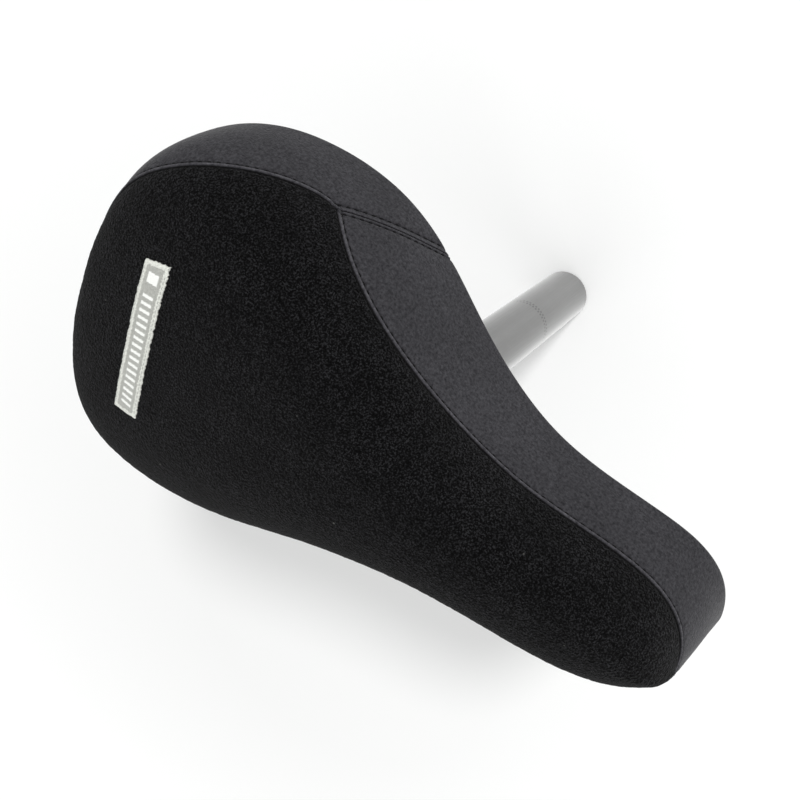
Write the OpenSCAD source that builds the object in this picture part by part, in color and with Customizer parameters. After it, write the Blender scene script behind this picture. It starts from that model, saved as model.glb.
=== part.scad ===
// Padded one-piece saddle with its own seatpost.
// The post stands on +Z with its lower end at the origin, the nose points to +X
// and the rider's left is +Y. Saddle pieces are drawn in the saddle's own frame
// (x from the tail, z from the seat's datum plane) and then set on the post.

/* [Saddle outline] */
// Length over the lower edge, tail to nose
saddle_l = 250; // [230:1:275]
// Width over the hips
tail_w = 150; // [138:1:164]
// Width over the nose
nose_w = 58; // [52:1:68]
// Depth of the saddle over the post, lower edge to ridge
saddle_h = 64; // [56:1:74]
// Nose-down angle of the saddle against a square to the post
tilt = 3; // [0:0.5:8]
// Distance of the post's axis from the tail
post_x = 117; // [108:0.5:128]

/* [Cover] */
// Thickness of the cover fabric
cover_t = 1.6; // [1:0.1:2.4]
// Width of the cover edge turned in under the base
turn_in = 10; // [8:0.5:11]
// Gap left between soft pieces, and between them and the base
soft_gap = 0.3; // [0.2:0.05:0.5]
// Staples round the turned-in edge, on each side
staples_side = 13; // [9:1:18]
// Width of a staple's crown
staple_w = 10; // [8:0.5:12]
// Wire thickness of a staple
staple_t = 0.6; // [0.5:0.1:1]

/* [Label] */
// Length of the woven label, across the tail
label_l = 61; // [40:1:70]
// Width of the woven label
label_w = 10.4; // [8:0.2:14]
// Distance of the label's middle from the tail
label_x = 38.5; // [34:0.5:60]
// Distance of the label's middle from the centre line, to the left
label_y = 1.5; // [-5:0.5:5]
// Angle at which the label is sewn on
label_skew = 5.4; // [-8:0.2:8]
// Slant of the label's cut ends
label_slant = 13; // [0:1:25]
// Thickness of the label
label_t = 0.8; // [0.5:0.1:1.2]

/* [Base] */
// Wall of the moulded base
base_t = 3; // [2.5:0.1:3.6]
// Thickness of the flat rim that the cover is stapled to
rim_t = 3.5; // [3:0.1:4.5]
// Width of the flat rim
rim_w = 11; // [10:0.5:13]
// Height of the base's floor over the lower edge
floor_h = 15; // [13:0.5:18]
// Width of the slope between the rim and the floor
slope_w = 7.5; // [6:0.5:8.5]
// Height of the post's mounting faces over the lower edge
pad_h = 8.5; // [7:0.5:10]
// Thickness of a stiffening rib
rib_t = 2; // [1.6:0.1:2.6]
// Height of the ribs' lower edges over the lower edge
rib_h = 7; // [5:0.5:9]
// Distance of the two rear ribs from the centre line
rib_y = 14; // [10:1:18]
// Distance of the long ribs' ends from the tail and from the nose
rib_end = 27; // [24:1:32]
// Diameter of a bolt boss
boss_d = 15; // [13:0.5:17]

/* [Post] */
// Outer diameter of the post
post_d = 25.4; // [22:0.1:30]
// Wall of the post
post_wall = 2.2; // [1.6:0.1:3]
// Length of the post tube
post_l = 175; // [120:1:300]
// Depth of the head's socket round the tube
socket_depth = 26; // [20:0.5:32]
// Diameter of the head's collar
collar_d = 34; // [31:0.5:36]
// Length of the collar below the flange
collar_l = 24; // [18:0.5:30]
// Flange length, fore and aft
flange_l = 64; // [60:1:70]
// Flange width
flange_w = 48; // [44:1:54]
// Flange thickness
flange_t = 7; // [5:0.5:9]
// Thickness of the webs between collar and flange
web_t = 5; // [4:0.5:6]
// Size of the cone where the collar meets the flange
neck = 3; // [2:0.5:4]
// Amount the tube's bonded end is turned down, in diameter
spigot_cut = 0.6; // [0.2:0.1:1]
// Radial gap between the tube and its socket
bond_gap = 0.05; // [0.02:0.01:0.15]
// Chamfer on the tube's ends
chamfer = 0.6; // [0.2:0.1:1]

/* [Fasteners] */
// Bolt spacing, fore and aft
bolt_dx = 46; // [44:0.5:50]
// Bolt spacing, across
bolt_dy = 30; // [28:0.5:34]
// Bolt shank diameter
bolt_d = 6; // [5:0.5:6.5]
// Bolt head diameter
bolt_head_d = 10; // [9:0.5:11]
// Bolt head height
bolt_head_h = 4.5; // [3.5:0.5:6.5]
// Width across flats of the bolt's key socket
key_af = 4; // [3:0.5:5]
// Washer outer diameter
washer_d = 12; // [11:0.5:12.5]
// Washer thickness
washer_t = 1.6; // [1:0.1:2]
// Outer diameter of the threaded insert
insert_d = 9; // [8:0.5:10]
// Length of the threaded insert
insert_l = 7.5; // [6:0.5:8]
// Clearance of the bolts in the flange and washers, radial
bolt_gap = 0.25; // [0.15:0.05:0.5]

/* [Hidden] */
$fn = 64;
eps = 0.01;
CORNERS = [["rear_left", -1, 1], ["rear_right", -1, -1], ["front_left", 1, 1], ["front_right", 1, -1]];

// Lower-edge outline, rear centre to nose: share of the length, share of the hips'
// extra width, share of the nose width. They are the controls of a cubic B-spline.
OUTLINE = [[0, 0, 0], [0, 0.25, 0.35], [0.025, 0.65, 0.8], [0.1, 0.93, 1], [0.21, 1.035, 1],
    [0.33, 0.94, 1], [0.446, 0.59, 1], [0.554, 0.25, 1], [0.672, 0, 1], [0.788, 0, 1],
    [0.899, 0, 1.01], [0.966, 0, 0.68], [0.997, 0, 0.25], [1.006, 0, 0]];
// Side view: ridge and lower edge, as shares of the depth at five Bezier controls
RIDGE = [0.19, 0.45, 0.26, 0.38, 0];
EDGE = [-0.16, -0.84, -0.86, -0.35, -0.74];
// Cross-section Bezier, tail and nose: draft of the wall, wall handle, shoulder handle
DRAFT = [-0.015, 0.35];
WALL = [0.93, 0.77];
SHOULDER = [0.73, 0.625];
// The inner line that sections close on: its distance from the tail and from the nose
SPINE = [15, 24];
// The same for the insets of the base, which reach further in
CORE = [40, 35];
// Height of the top seam on the section, from the tail to the hip and on to the nose
SEAM_REAR = [0.25, 0.25, 0.71, 0.21, 0.21];
SEAM_FRONT = [0.21, 0.59, 0.1, 0.28, 0.18, 0.45, 0.45];
// Places on the outline, in spline steps: the hip corner and the hip seam's foot
HIP_U = 4.64;
HIP_FOOT = 5.72;
NOSE_U = len(OUTLINE) - 1;

half_tail = (tail_w - nose_w) / 2;
half_ctrl = [for (c = OUTLINE) [c[0] * saddle_l, c[1] * half_tail + c[2] * nose_w / 2]];
CTRL = concat(half_ctrl, [for (i = [NOSE_U - 1:-1:1]) [half_ctrl[i][0], -half_ctrl[i][1]]]);

skin_in = cover_t + soft_gap;      // depth at which foam and base begin
edge_lift = cover_t + soft_gap;    // base rim over the turned-in cover
rim_top = edge_lift + rim_t;       // upper face of the base's rim
top_rise = floor_h + base_t - rim_top;  // climb of the base's upper face, rim to middle
low_rise = floor_h - edge_lift;    // the same of its lower face
cap_level = 0.97;                  // level at which the two sides are joined
low_level = 0.04;                  // lowest level of the cover's wall
fold_r = 1.5;                      // radius of the cover's lower fold
steps_rear = 14;                   // spline samples, tail to hip, each side
steps_front = 26;                  // the same, hip to nose
crown_steps = 8;                   // levels of the top panel and the foam
wall_steps = 5;                    // levels of the side bands

// Points along a half outline, with one exactly at the hip corner
HALF_U = concat([for (i = [0:steps_rear - 1]) HIP_U * i / steps_rear],
    [for (i = [0:steps_front]) HIP_U + (NOSE_U - HIP_U) * i / steps_front]);
RING_U = concat(HALF_U, [for (i = [len(HALF_U) - 2:-1:1]) -HALF_U[i]]);

function mix(a, b, s) = a + (b - a) * s;
function clip(x, lo, hi) = min(max(x, lo), hi);
function choose(n, k) = k == 0 ? 1 : choose(n, k - 1) * (n - k + 1) / k;
function bezier(c, s, n) = let (m = len(c) - 1)
    [for (k = [0:m]) choose(m, k) * pow(s, k) * pow(1 - s, m - k) * c[k]] * [for (k = [0:m]) 1];
function unit(v) = v / norm(v);

// Closed cubic B-spline of the lower edge, and its outward normal in plan
function ctrl(k) = CTRL[(k + 4 * len(CTRL)) % len(CTRL)];
function outline(u) = let (k = floor(u), f = u - k, g = 1 - f)
    (g * g * g * ctrl(k - 1) + (3 * f * f * f - 6 * f * f + 4) * ctrl(k)
    + (-3 * f * f * f + 3 * f * f + 3 * f + 1) * ctrl(k + 1) + f * f * f * ctrl(k + 2)) / 6;
function plan_normal(u) = let (t = unit(outline(u + 0.01) - outline(u - 0.01))) [-t[1], t[0]];

// Heights of the ridge and of the lower edge at x
function ridge_z(x) = saddle_h * bezier(RIDGE, clip(x / saddle_l, 0, 1));
function edge_z(x) = saddle_h * bezier(EDGE, clip(x / saddle_l, 0, 1));

// Section at level t, 0 at the lower edge and 1 on the ridge: share of the way out
// from the spine, and share of the height
function draft(s) = mix(DRAFT[0], DRAFT[1], s);
function reach(t, s) = let (v = 1 - t)
    v * v * v + 3 * v * v * t * (1 - draft(s)) + 3 * v * t * t * mix(SHOULDER[0], SHOULDER[1], s);
function rise(t, s) = let (v = 1 - t) 3 * v * v * t * mix(WALL[0], WALL[1], s) + 3 * v * t * t + t * t * t;
function spine_x(x) = SPINE[0] + (saddle_l - SPINE[0] - SPINE[1]) * x / saddle_l;

// The saddle's outer surface, and the surface at depth d under it
function skin(u, t) = let (b = outline(u), s = clip(b[0] / saddle_l, 0, 1), r = reach(t, s),
    x = mix(spine_x(b[0]), b[0], r), lo = edge_z(x))
    [x, b[1] * r, mix(lo, ridge_z(x), rise(t, s))];
function skin_normal(u, t) = let (p = skin(u, t))
    unit(cross(skin(u, t + 0.01) - p, skin(u + 0.01, t) - skin(u - 0.01, t)));
function under(u, t, d) = skin(u, t) - d * skin_normal(u, t);

// Level at which the wall stands h mm over the lower edge
function wall_level(u, h, lo = 0, hi = 0.6, n = 12) = let (mid = (lo + hi) / 2, p = skin(u, mid))
    n == 0 ? mid
    : p[2] - edge_z(p[0]) < h ? wall_level(u, h, mid, hi, n - 1) : wall_level(u, h, lo, mid, n - 1);

// A point w mm in from the wall and h mm over the lower edge; past the cover it runs to the core
function inset(u, w, h) = let (b = skin(u, wall_level(u, min(h, rim_top))), near = min(w, skin_in),
    a = [b[0], b[1]] - near * plan_normal(u),
    core = [CORE[0] + (saddle_l - CORE[0] - CORE[1]) * b[0] / saddle_l, 0],
    p = a + (w - near) * unit(core - a)) [p[0], p[1], edge_z(p[0]) + h];

// Level of the top seam at u, and the hip seam's place at level t
function seam_level(u) = let (a = abs(u)) a <= HIP_U
    ? bezier(SEAM_REAR, a / HIP_U)
    : bezier(SEAM_FRONT, (a - HIP_U) / (NOSE_U - HIP_U));
function hip_u(t) = mix(HIP_FOOT, HIP_U, clip(t / seam_level(HIP_U), 0, 1));

// Spline place at plan distance x from the tail, and the half width there
function u_at(x, lo = 0, hi = NOSE_U, n = 18) = let (mid = (lo + hi) / 2) n == 0 ? mid
    : outline(mid)[0] < x ? u_at(x, mid, hi, n - 1) : u_at(x, lo, mid, n - 1);
function half_w(x) = outline(u_at(x))[1];
function level_at(r, s, lo = 0, hi = 1, n = 18) = let (mid = (lo + hi) / 2) n == 0 ? mid
    : reach(mid, s) > r ? level_at(r, s, mid, hi, n - 1) : level_at(r, s, lo, mid, n - 1);
function outline_x(x, r) = let (k = (saddle_l - SPINE[0] - SPINE[1]) / saddle_l)
    (x - SPINE[0] * (1 - r)) / (k * (1 - r) + r);
function reach_at(x, y, r, n = 5) = n == 0 ? r
    : reach_at(x, y, abs(y) / half_w(clip(outline_x(x, r), 2, saddle_l - 2)), n - 1);
function top_z(x, y) = let (r = reach_at(x, y, abs(y) / half_w(x)),
    s = clip(outline_x(x, r) / saddle_l, 0, 1))
    mix(edge_z(x), ridge_z(x), rise(level_at(r, s), s));

// The post's mounting plane in the saddle's frame, and its height on the post
pad_z = edge_z(post_x) + pad_h;
shoulder_z = post_l - socket_depth;
collar_z = shoulder_z + bond_gap;
spigot_d = post_d - spigot_cut;
pad_height = collar_z + collar_l + flange_t;
floor_z = pad_z - pad_h + floor_h;

// Closed body through rings of mirror-symmetric points, first ring up, joined across
module loft(rings) {
    n = len(rings[0]);
    last = (len(rings) - 1) * n;
    half = n / 2;
    walls = [for (k = [0:len(rings) - 2], i = [0:n - 1]) let (a = k * n, j = (i + 1) % n)
        each [[a + i, a + n + i, a + n + j], [a + i, a + n + j, a + j]]];
    near_cap = [for (i = [1:half - 1]) each
        i < half - 1 ? [[i, i + 1, n - i - 1], [i, n - i - 1, n - i]] : [[i, half, n - i]]];
    first = [[0, 1, n - 1]];
    far_cap = [for (f = concat(first, near_cap)) [last + f[2], last + f[1], last + f[0]]];
    polyhedron([for (r = rings) each r], concat(first, near_cap, walls, far_cap));
}

// Open strip: each section goes out along its outer points and back along its inner ones
module strip(sections) {
    m = len(sections[0]);
    last = (len(sections) - 1) * m;
    walls = [for (j = [0:len(sections) - 2], k = [0:m - 1]) let (a = j * m, q = (k + 1) % m)
        each [[a + k, a + m + k, a + m + q], [a + k, a + m + q, a + q]]];
    cap = [for (k = [0:m / 2 - 2]) each
        [[k, k + 1, m - 2 - k], [k, m - 2 - k, m - 1 - k]]];
    far_cap = [for (f = cap) [last + f[2], last + f[1], last + f[0]]];
    polyhedron([for (s = sections) each s], concat(cap, walls, far_cap));
}

module rounded_plate(l, w, h, r) {
    linear_extrude(h) {
        square([l - 2 * r, w], center = true);
        square([l, w - 2 * r], center = true);
        for (sx = [-1, 1], sy = [-1, 1]) translate([sx * (l / 2 - r), sy * (w / 2 - r)]) circle(r);
    }
}

// Frames: the saddle's own, and the mounting plane with its centre on the post's axis
module on_plane() translate([0, 0, pad_height]) rotate([0, tilt, 0]) children();
module in_saddle() on_plane() translate([-post_x, 0, -pad_z]) children();

function seam_ring(d, share, gap) = [for (u = RING_U)
    under(u, mix(seam_level(u) + gap / saddle_h, cap_level, share), d)];

module top_panel() color([0.06, 0.06, 0.065]) in_saddle() {
    shares = [for (k = [0:crown_steps]) k / crown_steps];
    seam_gap = soft_gap * 1.5;
    loft(concat([for (k = [crown_steps:-1:0]) seam_ring(0, shares[k], seam_gap)],
        [for (k = [0:crown_steps]) seam_ring(cover_t, shares[k], seam_gap)]));
}

// One section of a side band at u: the turned-in edge, the fold, the wall to the seam
function band_points(us, u_top, d) = let (top = seam_level(u_top) - soft_gap / saddle_h,
    levels = [for (k = [0:wall_steps]) mix(low_level, top, k / wall_steps)])
    [for (k = [0:wall_steps]) under(us[k], levels[k], d)];
function fold_points(u) = [inset(u, turn_in, 0), inset(u, fold_r, 0),
    inset(u, 0.44 * fold_r, 0.12 * fold_r), inset(u, 0.1 * fold_r, 0.5 * fold_r)];
function lining_points(u) = [inset(u, turn_in, cover_t), inset(u, cover_t + fold_r, cover_t),
    inset(u, cover_t + 0.4, cover_t + 0.4), inset(u, cover_t, cover_t + 0.9)];
function band_section(us, u_top) = let (outer = concat(fold_points(us[0]), band_points(us, u_top, 0)),
    inner = concat(lining_points(us[0]), band_points(us, u_top, cover_t)))
    concat(outer, [for (i = [len(inner) - 1:-1:0]) inner[i]]);

// Spline places up one section, leaning with the hip seam near the band's ends
function lean_us(share, end_u, fade) = let (top = seam_level(HIP_U))
    [for (k = [0:wall_steps]) let (t = mix(low_level, top, k / wall_steps))
        mix(share, sign(share) * end_u[k], fade)];
hip_line = [for (k = [0:wall_steps]) hip_u(mix(low_level, seam_level(HIP_U), k / wall_steps))];
hip_gap = 0.03;

module rear_band() color([0.22, 0.22, 0.235]) in_saddle() {
    n = 2 * steps_rear;
    end = [for (h = hip_line) h - hip_gap];
    strip([for (j = [0:n]) let (v = 2 * j / n - 1, side = sign(v), a = abs(v))
        band_section([for (h = end) side * (a * HIP_U + (h - HIP_U) * pow(a, 4))], v * HIP_U)]);
}

module front_band() color([0.22, 0.22, 0.235]) in_saddle() {
    n = 2 * steps_front;
    span = NOSE_U - HIP_U;
    end = [for (h = hip_line) h + hip_gap];
    strip([for (j = [0:n]) let (v = 2 * j / n - 1, side = sign(v), a = abs(v))
        band_section([for (h = end) NOSE_U + side * (a * span - (h - HIP_U) * pow(a, 6))],
            NOSE_U - a * span)]);
}

function label_spot(i, j, nx, ny, lift) = let (across = label_w * (i / nx - 0.5),
    along = label_l * (j / ny - 0.5) + across * tan(label_slant),
    x = label_x + across * cos(label_skew) - along * sin(label_skew),
    y = label_y + across * sin(label_skew) + along * cos(label_skew)) [x, y, top_z(x, y) + lift];

module woven_label() color([0.62, 0.62, 0.6]) in_saddle() {
    nx = 4;
    ny = 14;
    foot = soft_gap / 2;
    strip([for (j = [0:ny]) concat([for (i = [0:nx]) label_spot(i, j, nx, ny, foot)],
        [for (i = [nx:-1:0]) label_spot(i, j, nx, ny, foot + label_t)])]);
}

// Sections of the base's upper and lower faces, from the middle out, as inset and height
BASE_TOP = [[rim_w + 0.8 * slope_w, rim_top + top_rise],
    [rim_w + 0.43 * slope_w, rim_top + 0.92 * top_rise],
    [rim_w + 0.21 * slope_w, rim_top + 0.64 * top_rise],
    [rim_w - 0.08 * slope_w, rim_top + 0.12 * top_rise], [rim_w - 0.27 * slope_w, rim_top],
    [skin_in + 0.11 * rim_t, rim_top], [skin_in, rim_top - 0.11 * rim_t]];
BASE_BOTTOM = [[skin_in, edge_lift + 0.34 * rim_t], [skin_in + 0.29 * rim_t, edge_lift],
    [rim_w, edge_lift], [rim_w + 0.21 * slope_w, edge_lift + 0.11 * low_rise],
    [rim_w + 0.53 * slope_w, edge_lift + 0.66 * low_rise],
    [rim_w + 0.75 * slope_w, edge_lift + 0.92 * low_rise], [rim_w + slope_w, floor_h]];
function rim_ring(p, lift = 0) = [for (u = RING_U) inset(u, p[0], p[1] + lift)];

module foam_pad() color([0.8, 0.76, 0.55]) in_saddle() {
    lows = [for (u = RING_U) wall_level(u, rim_top + 0.34 * rim_t)];
    inner = [for (i = [len(BASE_TOP) - 2:-1:0]) BASE_TOP[i]];
    loft(concat([for (k = [crown_steps:-1:0]) [for (i = [0:len(RING_U) - 1])
        under(RING_U[i], mix(lows[i], cap_level, k / crown_steps), skin_in)]],
        [for (p = inner) rim_ring(p, soft_gap)]));
}

module base_tray() loft(concat([for (p = BASE_TOP) rim_ring(p)], [for (p = BASE_BOTTOM) rim_ring(p)]));

// A rib that follows the base along x, between the rib line and the floor
module long_rib(y, x0, x1) {
    n = 12;
    xs = [for (i = [0:n]) mix(x0, x1, i / n)];
    translate([0, y + rib_t / 2, 0]) rotate([90, 0, 0]) linear_extrude(rib_t)
        polygon(concat([for (x = xs) [x, edge_z(x) + rib_h]],
            [for (i = [n:-1:0]) [xs[i], edge_z(xs[i]) + floor_h + base_t / 2]]));
}

module cross_rib(x) {
    reach_y = half_w(x) - rim_w - 0.45 * slope_w;
    low = edge_z(x) + rib_h;
    translate([x - rib_t / 2, -reach_y, low]) cube([rib_t, 2 * reach_y, floor_h + base_t / 2 - rib_h]);
}

module at_corners() for (c = CORNERS) translate([c[1] * bolt_dx / 2, c[2] * bolt_dy / 2, 0]) children();
module at_corner(i) translate([CORNERS[i][1] * bolt_dx / 2, CORNERS[i][2] * bolt_dy / 2, 0]) children();

boss_h = floor_h + base_t / 2 - pad_h;
frame_l = bolt_dx + boss_d;
frame_w = bolt_dy + boss_d;
frame_rear = post_x - frame_l / 2;
frame_front = post_x + frame_l / 2;

module base_shell() color([0.05, 0.05, 0.055]) difference() {
    union() {
        in_saddle() {
            base_tray();
            for (side = [-1, 1]) {
                long_rib(side * rib_y, rib_end, frame_rear + rib_t / 2);
                long_rib(side * rib_y / 2, frame_front - rib_t / 2, saddle_l - rib_end);
            }
            for (k = [1:2]) cross_rib(mix(rib_end, frame_rear, k / 3));
            for (k = [1:3]) cross_rib(mix(frame_front, saddle_l - rib_end, k / 4));
        }
        on_plane() {
            at_corners() cylinder(d = boss_d, h = boss_h);
            difference() {
                rounded_plate(frame_l, frame_w, boss_h, boss_d / 2);
                translate([0, 0, -eps])
                    rounded_plate(frame_l - 2 * base_t, frame_w - 2 * base_t, boss_h, boss_d / 2 - base_t);
            }
        }
    }
    on_plane() at_corners() translate([0, 0, -eps])
        cylinder(d = insert_d + 2 * bond_gap, h = 1.07 * insert_l + eps);
}

// Spline place against the length run along the staples' line, from the tail
staple_in = turn_in * 0.62;
u_step = 0.25;
staple_run = [for (u = 0, run = 0; u <= NOSE_U; run = run
    + norm(inset(u + u_step, staple_in, 0) - inset(u, staple_in, 0)), u = u + u_step) [run, u]];

// Staples lie flat on the turned-in edge, long side along it
module cover_staples() color([0.6, 0.61, 0.63]) in_saddle()
    for (side = [-1, 1], i = [0:staples_side - 1]) {
        run = staple_run[len(staple_run) - 1][0] * (i + 0.5) / staples_side;
        u = side * lookup(run, staple_run);
        p = inset(u, staple_in, 0);
        along = unit(inset(u + 0.05, staple_in, 0) - inset(u - 0.05, staple_in, 0));
        yaw = atan2(along[1], along[0]);
        slope = edge_z(p[0] + 0.5) - edge_z(p[0] - 0.5);
        pitch = -atan(slope * cos(yaw));
        roll = atan(slope * sin(yaw));
        translate(p - [0, 0, 0.15]) rotate([0, 0, yaw]) rotate([0, pitch, 0]) rotate([-roll, 0, 0])
            translate([-staple_w / 2, -staple_t, -staple_t]) cube([staple_w, 2 * staple_t, staple_t]);
    }

// Straight tube; its upper end is turned down and bonded into the head
module post_tube() color([0.62, 0.63, 0.65]) rotate_extrude($fn = 96) polygon([
    [post_d / 2 - post_wall + chamfer / 2, 0], [post_d / 2 - chamfer, 0], [post_d / 2, chamfer],
    [post_d / 2, shoulder_z], [spigot_d / 2, shoulder_z],
    [spigot_d / 2, post_l - chamfer], [spigot_d / 2 - chamfer, post_l],
    [post_d / 2 - post_wall, post_l], [post_d / 2 - post_wall, chamfer / 2]]);

// Web between the collar and the flange
module web(turn) rotate([0, 0, turn]) rotate([90, 0, 0]) translate([0, 0, -web_t / 2]) linear_extrude(web_t)
    polygon([[0.47 * collar_d, 0], [0.46 * flange_w, 0], [0.47 * collar_d, -collar_l * 0.6]]);

module post_head() color([0.5, 0.51, 0.53]) difference() {
    union() {
        on_plane() {
            translate([0, 0, -flange_t]) rounded_plate(flange_l, flange_w, flange_t, boss_d / 2 + 1);
            translate([0, 0, -flange_t]) for (turn = [0, 90, 180, 270]) web(turn);
        }
        translate([0, 0, collar_z]) cylinder(d = collar_d, h = collar_l + flange_t / 2);
        translate([0, 0, collar_z + collar_l - 1.3 * neck])
            cylinder(d1 = collar_d, d2 = collar_d + 2 * neck, h = 1.5 * neck);
    }
    translate([0, 0, collar_z - 1]) cylinder(d = spigot_d + 2 * bond_gap, h = socket_depth + 1);
    on_plane() at_corners() translate([0, 0, -flange_t - 1])
        cylinder(d = bolt_d + 2 * bolt_gap, h = flange_t + 2);
}

module bolt(i) color([0.12, 0.12, 0.13]) on_plane() at_corner(i) {
    seat = -flange_t - washer_t;
    difference() {
        union() {
            translate([0, 0, seat - bolt_head_h]) cylinder(d1 = bolt_head_d - 1, d2 = bolt_head_d, h = 0.5);
            translate([0, 0, seat - bolt_head_h + 0.5]) cylinder(d = bolt_head_d, h = bolt_head_h - 0.5);
            translate([0, 0, seat - eps]) cylinder(d = bolt_d, h = insert_l - seat - 0.5);
        }
        translate([0, 0, seat - bolt_head_h - eps])
            cylinder(d = key_af / cos(30), h = bolt_head_h * 0.6, $fn = 6);
    }
}

module washer(i) color([0.7, 0.71, 0.73]) on_plane() at_corner(i) translate([0, 0, -flange_t - washer_t])
    difference() {
        cylinder(d = washer_d, h = washer_t);
        translate([0, 0, -1]) cylinder(d = bolt_d + 2 * bolt_gap, h = washer_t + 2);
    }

// Threaded insert with two knurled bands, pressed into its boss
module insert(i) color([0.78, 0.62, 0.3]) on_plane() at_corner(i) rotate_extrude() polygon([
    [bolt_d / 2 + bond_gap, 0], [insert_d / 2, 0], [insert_d / 2, insert_l * 0.4],
    [insert_d / 2 - 0.6, insert_l * 0.45], [insert_d / 2 - 0.6, insert_l * 0.55],
    [insert_d / 2, insert_l * 0.6], [insert_d / 2, insert_l - 0.4], [insert_d / 2 - 0.4, insert_l],
    [bolt_d / 2 + bond_gap, insert_l]]);

top_panel();
rear_band();
front_band();
woven_label();
foam_pad();
base_shell();
cover_staples();
post_tube();
post_head();
for (i = [0:3]) {
    bolt(i);
    washer(i);
    insert(i);
}
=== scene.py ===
import bmesh
import bpy
import math
import numpy as np
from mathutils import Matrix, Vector
from mathutils.bvhtree import BVHTree


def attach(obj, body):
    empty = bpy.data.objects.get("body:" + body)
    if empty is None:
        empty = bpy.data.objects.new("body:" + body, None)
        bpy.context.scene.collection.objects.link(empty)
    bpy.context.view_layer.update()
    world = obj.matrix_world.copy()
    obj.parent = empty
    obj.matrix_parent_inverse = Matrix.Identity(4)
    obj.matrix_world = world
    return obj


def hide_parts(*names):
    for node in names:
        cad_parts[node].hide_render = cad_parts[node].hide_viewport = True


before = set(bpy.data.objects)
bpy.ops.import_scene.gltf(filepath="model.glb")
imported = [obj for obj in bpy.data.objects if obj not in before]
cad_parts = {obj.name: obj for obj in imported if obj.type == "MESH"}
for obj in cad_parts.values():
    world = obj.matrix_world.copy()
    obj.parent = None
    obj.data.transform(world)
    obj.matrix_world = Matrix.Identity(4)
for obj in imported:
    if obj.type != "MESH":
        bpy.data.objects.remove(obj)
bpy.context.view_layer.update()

# Looks of the padded saddle on its post. The cover is drawn again round the packed
# solids: the top panel and the two side bands are closed sheets with folded hems, laid on
# the skin of part.scad and lifted by the padding. The label and the stitches lie on them.
# Lengths are in millimetres in the saddle's own frame (x from the tail, z from the datum
# plane) until place() sets them in the row's frame in metres.

# Sizes shared with part.scad
LENGTH, TAIL_W, NOSE_W, DEPTH = 250.0, 150.0, 58.0, 64.0
TILT, POST_X, POST_L = math.radians(3.0), 117.0, 175.0
SOCKET, COLLAR, FLANGE, PAD_H, BOND = 26.0, 24.0, 7.0, 8.5, 0.05
COVER_T, TURN_IN = 1.6, 10.0
SKIN_IN = 1.9        # cover and the gap under it
OUTLINE = [[0, 0, 0], [0, 0.25, 0.35], [0.025, 0.65, 0.8], [0.1, 0.93, 1], [0.21, 1.035, 1],
           [0.33, 0.94, 1], [0.446, 0.59, 1], [0.554, 0.25, 1], [0.672, 0, 1], [0.788, 0, 1],
           [0.899, 0, 1.01], [0.966, 0, 0.68], [0.997, 0, 0.25], [1.006, 0, 0]]
RIDGE = [0.19, 0.45, 0.26, 0.38, 0]
EDGE = [-0.16, -0.84, -0.86, -0.35, -0.74]
DRAFT, WALL, SHOULDER = (-0.015, 0.35), (0.93, 0.77), (0.73, 0.625)
SPINE, CORE = (15.0, 24.0), (40.0, 35.0)
SEAM_REAR = [0.25, 0.25, 0.71, 0.21, 0.21]
SEAM_FRONT = [0.21, 0.59, 0.1, 0.28, 0.18, 0.45, 0.45]
HIP_U, HIP_FOOT = 4.64, 5.72
NOSE_U = len(OUTLINE) - 1
CAP = 0.985          # level at which the two sides of the top meet
START = 0.8          # depth from which the cover is blown up to its real place

half_ctrl = np.array([[x * LENGTH, hip * (TAIL_W - NOSE_W) / 2 + nose * NOSE_W / 2]
                      for x, hip, nose in OUTLINE])
CTRL = np.vstack([half_ctrl, (half_ctrl * [1, -1])[-2:0:-1]])


# Small helpers


def mix(a, b, s):
    return a + (b - a) * s


def ease(x):
    x = np.clip(x, 0, 1)
    return x * x * (3 - 2 * x)


def bump_at(s, centre, width):
    return np.exp(-((s - centre) / width) ** 2)


def noise(p, seed):
    """Smooth noise from -1 to 1 at points p, one cell a unit."""
    k = np.floor(p).astype(np.int64)
    f = p - k
    f = f * f * (3 - 2 * f)
    out = 0
    for c in range(8):
        d = np.array([c & 1, c >> 1 & 1, c >> 2 & 1])
        q = (k + d) @ np.array([73856093, 19349663, 83492791]) + seed * 2654435761
        q = (q ^ (q >> 13)) * 1274126177 & 0xFFFFFFFF
        q = (q ^ (q >> 16)) & 0xFFFF
        w = np.prod(np.where(d, f, 1 - f), axis=-1)
        out = out + w * (q / 32767.5 - 1)
    return out


def noise_2d(a, b, seed):
    return noise(np.stack([a, b, 0 * a], -1), seed)


def unit(v):
    return v / np.linalg.norm(v, axis=-1, keepdims=True)


def run_along(path):
    """Distance along a polyline at each of its points."""
    return np.r_[0, np.cumsum(np.linalg.norm(np.diff(path, axis=0), axis=1))]


def distance(points, line):
    """Least distance of each point to a polyline's points, walked in blocks."""
    block = 4000
    flat = points.reshape(-1, 3)
    out = np.empty(len(flat))
    for i in range(0, len(flat), block):
        out[i:i + block] = np.sqrt(((flat[i:i + block, None] - line[None]) ** 2).sum(-1).min(1))
    return out.reshape(points.shape[:-1])


# The saddle's skin, as in part.scad


def near_u(u):
    """Spline place as the shorter way round from the tail."""
    return np.where(u > NOSE_U, u - 2 * NOSE_U, u)


def bezier(c, s):
    m = len(c) - 1
    return sum(math.comb(m, k) * s ** k * (1 - s) ** (m - k) * c[k] for k in range(m + 1))


def spline_weights(f):
    """Weights of the four nearest controls of a cubic B-spline at share f of a span."""
    g = 1 - f
    return (g ** 3 / 6, (3 * f ** 3 - 6 * f ** 2 + 4) / 6,
            (-3 * f ** 3 + 3 * f ** 2 + 3 * f + 1) / 6, f ** 3 / 6)


def outline(u):
    u = np.asarray(u, float)
    k = np.floor(u).astype(int)
    w = spline_weights(u - k)
    return sum(w[j][..., None] * CTRL[(k - 1 + j) % len(CTRL)] for j in range(4))


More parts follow.
